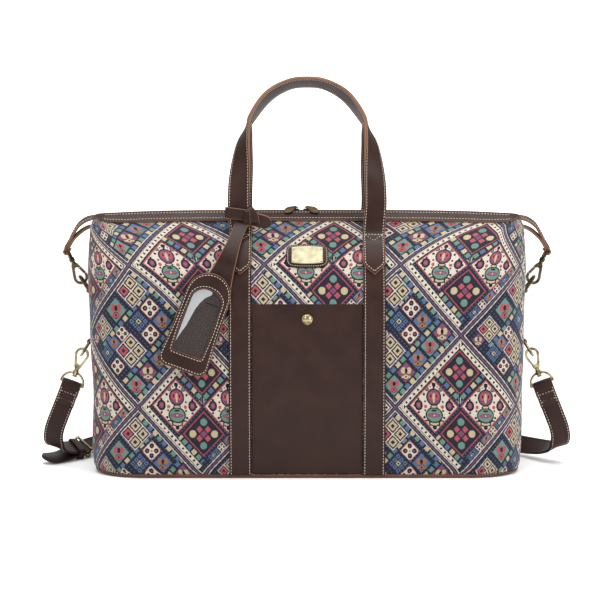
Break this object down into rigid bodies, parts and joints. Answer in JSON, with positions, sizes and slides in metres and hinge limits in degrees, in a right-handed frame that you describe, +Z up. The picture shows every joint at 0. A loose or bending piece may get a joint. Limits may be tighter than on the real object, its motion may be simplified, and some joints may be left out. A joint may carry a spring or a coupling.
{
  "type": "carpet bag",
  "caption": "Zipped tapestry weekender bag with leather trim, carrying handles, luggage tag and a clip-on shoulder strap.",
  "frame": {"origin": "centre of the base, on the surface that the bag stands on", "axes": "+X to the bag's right along its length, +Y to the back, +Z up"},
  "size_m": [0.6338, 0.2816, 0.4561],
  "materials": {
    "tapestry_cloth": "woven tapestry cloth in navy, cream, coral, teal and sand",
    "lining_cloth": "plain brown lining cloth",
    "zip_tape_cloth": "dark brown woven zip tape",
    "zip_teeth_metal": "dull antique brass teeth",
    "board": "stiff base board",
    "clear_window": "clear flexible window",
    "gold_plate": "light gold plate, brushed",
    "dark_bronze": "dark antique bronze",
    "antique_brass": "antique brass, polished on the edges",
    "brown_leather": "smooth dark brown leather with tan raw edges and cream stitching"
  },
  "bodies": {
    "bag": {"back_panel": "tapestry_cloth", "badge_patch": "brown_leather", "badge_plate": "gold_plate", "badge_rivets": "gold_plate", "band_front_left": "brown_leather", "band_front_right": "brown_leather", "band_rear_left": "brown_leather", "band_rear_right": "brown_leather", "base_board": "board", "base_panel": "tapestry_cloth", "base_piping": "brown_leather", "corner_rings": "dark_bronze", "corner_tab_left": "brown_leather", "corner_tab_right": "brown_leather", "front_panel": "tapestry_cloth", "front_pocket": "brown_leather", "handle_front_ends": "brown_leather", "handle_rear_ends": "brown_leather", "lining": "lining_cloth", "lower_ring_loops": "brown_leather", "pocket_stud": "antique_brass", "seam_strips": "brown_leather", "shoulder_strap_long": "brown_leather", "shoulder_strap_short": "brown_leather", "strap_buckle": "antique_brass", "strap_keeper": "brown_leather", "strap_ring_left": "antique_brass", "strap_ring_right": "antique_brass", "tag_knot": "brown_leather", "trim_front": "brown_leather", "trim_rear": "brown_leather", "upper_ring_loops": "brown_leather", "zip_tape_front": "zip_tape_cloth", "zip_tape_rear": "zip_tape_cloth", "zip_teeth": "zip_teeth_metal"},
    "slider_left": {"zip_slider_left": "dark_bronze"},
    "link_left": {"zip_link_left": "dark_bronze"},
    "leaf_left": {"zip_leaf_left": "dark_bronze"},
    "slider_right": {"zip_slider_right": "dark_bronze"},
    "link_right": {"zip_link_right": "dark_bronze"},
    "leaf_right": {"zip_leaf_right": "dark_bronze"},
    "front_handle": {"handle_front": "brown_leather"},
    "rear_handle": {"handle_rear": "brown_leather"},
    "tag": {"tag_strap": "brown_leather", "tag_case": "brown_leather", "tag_window": "clear_window", "tag_card": "brown_leather"},
    "upper_ring_right": {"upper_ring_right": "dark_bronze"},
    "upper_ring_left": {"upper_ring_left": "dark_bronze"},
    "lower_ring_right": {"lower_ring_right": "antique_brass"},
    "lower_ring_left": {"lower_ring_left": "antique_brass"},
    "corner_hook_right": {"corner_hook_right": "dark_bronze"},
    "corner_gate_right": {"corner_gate_right": "dark_bronze"},
    "corner_hook_left": {"corner_hook_left": "dark_bronze"},
    "corner_gate_left": {"corner_gate_left": "dark_bronze"},
    "strap_hook_right": {"strap_hook_right": "antique_brass"},
    "strap_gate_right": {"strap_gate_right": "antique_brass"},
    "strap_hook_left": {"strap_hook_left": "antique_brass"},
    "strap_gate_left": {"strap_gate_left": "antique_brass"}
  },
  "joints": [
    {"name": "zip_slide_left", "type": "slide", "parent": "bag", "child": "slider_left", "axis": [1, 0, 0], "range_m": [-0.21, 0]},
    {"name": "link_lift_left", "type": "hinge", "parent": "slider_left", "child": "link_left", "pos_m": [-0.0145, 0, 0.3052], "axis": [-1, 0, 0], "range_deg": [0, 80]},
    {"name": "leaf_lift_left", "type": "hinge", "parent": "link_left", "child": "leaf_left", "pos_m": [-0.0145, -0.022, 0.3052], "axis": [-1, 0, 0], "range_deg": [0, 60]},
    {"name": "zip_slide_right", "type": "slide", "parent": "bag", "child": "slider_right", "axis": [1, 0, 0], "range_m": [0, 0.22]},
    {"name": "link_lift_right", "type": "hinge", "parent": "slider_right", "child": "link_right", "pos_m": [0.001, 0, 0.3052], "axis": [-1, 0, 0], "range_deg": [0, 80]},
    {"name": "leaf_lift_right", "type": "hinge", "parent": "link_right", "child": "leaf_right", "pos_m": [0.001, -0.022, 0.3052], "axis": [-1, 0, 0], "range_deg": [0, 60]},
    {"name": "handle_fold_front", "type": "hinge", "parent": "bag", "child": "front_handle", "pos_m": [0, -0.057, 0.30615], "axis": [1, 0, 0], "range_deg": [0, 80]},
    {"name": "handle_fold_rear", "type": "hinge", "parent": "bag", "child": "rear_handle", "pos_m": [0, 0.057, 0.30615], "axis": [-1, 0, 0], "range_deg": [0, 80]},
    {"name": "tag_lift", "type": "hinge", "parent": "bag", "child": "tag", "pos_m": [-0.075, -0.0635, 0.289], "axis": [-1, 0, 0], "range_deg": [0, 50]},
    {"name": "upper_ring_turn_right", "type": "hinge", "parent": "bag", "child": "upper_ring_right", "pos_m": [0.2568, 0, 0.20734], "axis": [0, 1, 0], "range_deg": [-4, 4]},
    {"name": "upper_ring_turn_left", "type": "hinge", "parent": "bag", "child": "upper_ring_left", "pos_m": [-0.2568, 0, 0.20734], "axis": [0, 1, 0], "range_deg": [-4, 4]},
    {"name": "lower_ring_turn_right", "type": "hinge", "parent": "bag", "child": "lower_ring_right", "pos_m": [0.2568, 0, 0.14669], "axis": [0, 1, 0], "range_deg": [-4, 4]},
    {"name": "lower_ring_turn_left", "type": "hinge", "parent": "bag", "child": "lower_ring_left", "pos_m": [-0.2568, 0, 0.14669], "axis": [0, 1, 0], "range_deg": [-4, 4]},
    {"name": "corner_swivel_right", "type": "hinge", "parent": "bag", "child": "corner_hook_right", "pos_m": [0.2773, 0, 0.2433], "axis": [-0.454, 0, -0.891], "range_deg": [-12, 12]},
    {"name": "corner_gate_open_right", "type": "hinge", "parent": "corner_hook_right", "child": "corner_gate_right", "pos_m": [0.26907, 0, 0.23375], "axis": [0, -1, 0], "range_deg": [0, 14], "stiffness_Nm_per_rad": 0.01, "springref_deg": -14.32},
    {"name": "corner_swivel_left", "type": "hinge", "parent": "bag", "child": "corner_hook_left", "pos_m": [-0.2773, 0, 0.2433], "axis": [0.454, 0, -0.891], "range_deg": [-12, 12]},
    {"name": "corner_gate_open_left", "type": "hinge", "parent": "corner_hook_left", "child": "corner_gate_left", "pos_m": [-0.26907, 0, 0.23375], "axis": [0, 1, 0], "range_deg": [0, 14], "stiffness_Nm_per_rad": 0.01, "springref_deg": -14.32},
    {"name": "strap_swivel_right", "type": "hinge", "parent": "bag", "child": "strap_hook_right", "pos_m": [0.2742, 0, 0.1093], "axis": [-0.342, 0, 0.9397], "range_deg": [-12, 12]},
    {"name": "strap_gate_open_right", "type": "hinge", "parent": "strap_hook_right", "child": "strap_gate_right", "pos_m": [0.26719, 0, 0.11979], "axis": [0, 1, 0], "range_deg": [0, 14], "stiffness_Nm_per_rad": 0.01, "springref_deg": -14.32},
    {"name": "strap_swivel_left", "type": "hinge", "parent": "bag", "child": "strap_hook_left", "pos_m": [-0.2742, 0, 0.1093], "axis": [0.342, 0, 0.9397], "range_deg": [-12, 12]},
    {"name": "strap_gate_open_left", "type": "hinge", "parent": "strap_hook_left", "child": "strap_gate_left", "pos_m": [-0.26719, 0, 0.11979], "axis": [0, -1, 0], "range_deg": [0, 14], "stiffness_Nm_per_rad": 0.01, "springref_deg": -14.32}
  ]
}
